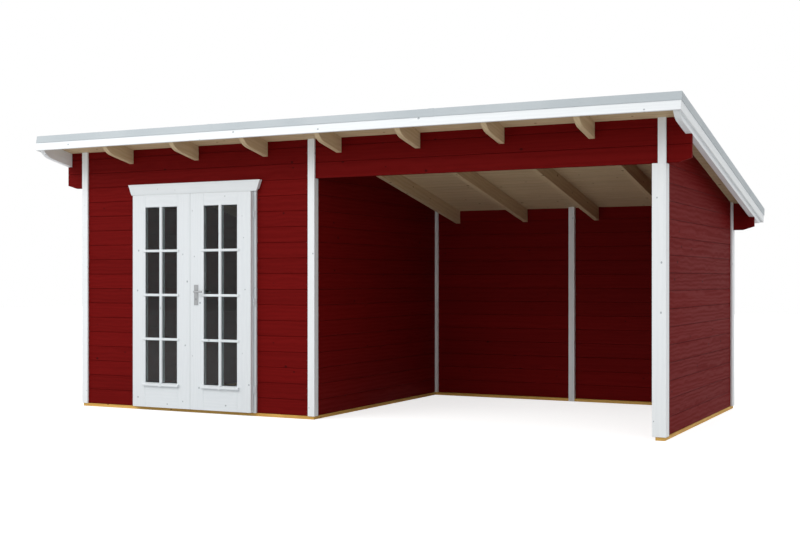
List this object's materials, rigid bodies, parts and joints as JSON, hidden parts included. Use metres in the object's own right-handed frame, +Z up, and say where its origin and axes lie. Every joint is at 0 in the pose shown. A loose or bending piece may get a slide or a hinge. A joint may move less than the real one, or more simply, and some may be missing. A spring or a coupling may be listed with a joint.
{
  "type": "garden cabin with open canopy",
  "caption": "Horizontal-board garden cabin with a glazed double door and an attached open-fronted canopy under one single-pitch roof that falls to the back.",
  "frame": {"origin": "ground level under the middle of the roof's outline", "axes": "+X along the front from the cabin to the canopy, +Y from the front to the back, +Z up"},
  "size_m": [5.746, 3.1796, 2.4223],
  "materials": {
    "red_boards": "semi-transparent dark red stain on planed boards",
    "white_timber": "white paint on planed timber",
    "bare_pine": "untreated planed pine",
    "sill_timber": "pressure-treated pine",
    "roofing_felt": "mineral-surfaced bitumen felt",
    "edge_trim": "light grey coated sheet",
    "glass": "clear float glass",
    "steel": "brushed"
  },
  "bodies": {
    "building": {"long_sills": "sill_timber", "cross_sills": "sill_timber", "front_wall_left": "red_boards", "front_wall_right": "red_boards", "front_wall_over_door": "red_boards", "cabin_left_wall": "red_boards", "cabin_right_wall": "red_boards", "canopy_end_wall": "red_boards", "back_wall": "red_boards", "front_header": "red_boards", "back_header": "red_boards", "canopy_post": "white_timber", "front_trims": "white_timber", "back_corner_trims": "white_timber", "inner_corner_strip": "white_timber", "back_wall_batten": "white_timber", "end_rafters": "white_timber", "rafter_1": "bare_pine", "rafter_2": "bare_pine", "rafter_3": "bare_pine", "rafter_4": "bare_pine", "rafter_5": "bare_pine", "rafter_6": "bare_pine", "rafter_7": "bare_pine", "roof_deck": "bare_pine", "roof_felt": "roofing_felt", "fascias": "white_timber", "bargeboards": "white_timber", "front_back_edge_trims": "edge_trim", "side_edge_trims": "edge_trim", "door_jambs": "white_timber", "door_head": "white_timber", "door_threshold": "white_timber", "door_cornice": "white_timber", "hinge_pins": "steel"},
    "left_leaf": {"left_leaf": "white_timber", "left_glass": "glass", "left_glazing_bars": "white_timber", "left_hinge_barrels": "steel"},
    "right_leaf": {"right_leaf": "white_timber", "right_glass": "glass", "right_glazing_bars": "white_timber", "right_hinge_barrels": "steel", "lock_plates": "steel"},
    "lever": {"lever_handle": "steel"}
  },
  "joints": [
    {"name": "left_leaf_hinge", "type": "hinge", "parent": "building", "child": "left_leaf", "pos_m": [-2.0635, -1.21827, 1], "axis": [0, 0, -1], "range_deg": [0, 110]},
    {"name": "right_leaf_hinge", "type": "hinge", "parent": "building", "child": "right_leaf", "pos_m": [-0.8025, -1.21827, 1], "axis": [0, 0, 1], "range_deg": [0, 110]},
    {"name": "lever_turn", "type": "hinge", "parent": "right_leaf", "child": "lever", "pos_m": [-1.3685, -1.23477, 1.043], "axis": [0, 1, 0], "range_deg": [0, 40], "stiffness_Nm_per_rad": 2, "springref_deg": -22.92}
  ]
}
